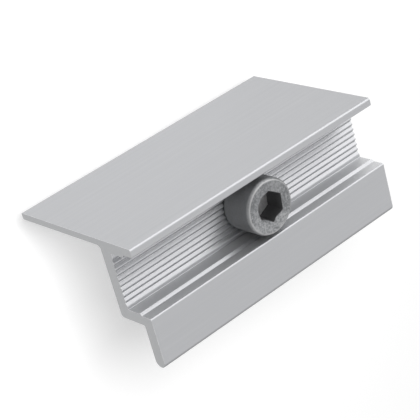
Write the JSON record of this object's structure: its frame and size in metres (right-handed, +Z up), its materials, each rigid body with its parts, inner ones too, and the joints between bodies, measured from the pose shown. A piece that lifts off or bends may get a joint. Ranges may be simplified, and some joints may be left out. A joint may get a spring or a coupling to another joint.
{
  "type": "solar end clamp",
  "caption": "Extruded aluminium end clamp with a socket head screw and slot nut, holding a module frame's edge down on a rail.",
  "frame": {"origin": "on the screw's axis, at the height of the rail surface that the leg stands on", "axes": "+Z up along the screw towards its head, +X over the clamped module towards the tongue's tip, +Y along the extrusion"},
  "size_m": [0.0303, 0.075, 0.0484],
  "materials": {
    "anodised_aluminium": "satin silver anodised extrusion, ends left as sawn",
    "stainless_screw": "grainy cold-formed stainless steel",
    "stainless_nut": "plain stainless steel"
  },
  "bodies": {
    "clamp": {"clamp_profile": "anodised_aluminium"},
    "screw": {"cap_screw": "stainless_screw"},
    "nut": {"slot_nut": "stainless_nut"}
  },
  "joints": [
    {"name": "screw_turn", "type": "hinge", "parent": "clamp", "child": "screw", "pos_m": [0, 0, 0], "axis": [0, 0, 1], "range_deg": [-6336, 864]},
    {"name": "nut_travel", "type": "slide", "parent": "clamp", "child": "nut", "axis": [0, 0, 1], "range_m": [-0.00301, 0.02201]}
  ],
  "couplings": [
    {"joint": "nut_travel", "follows": "screw_turn", "m_per_rad": -0.00019894}
  ]
}
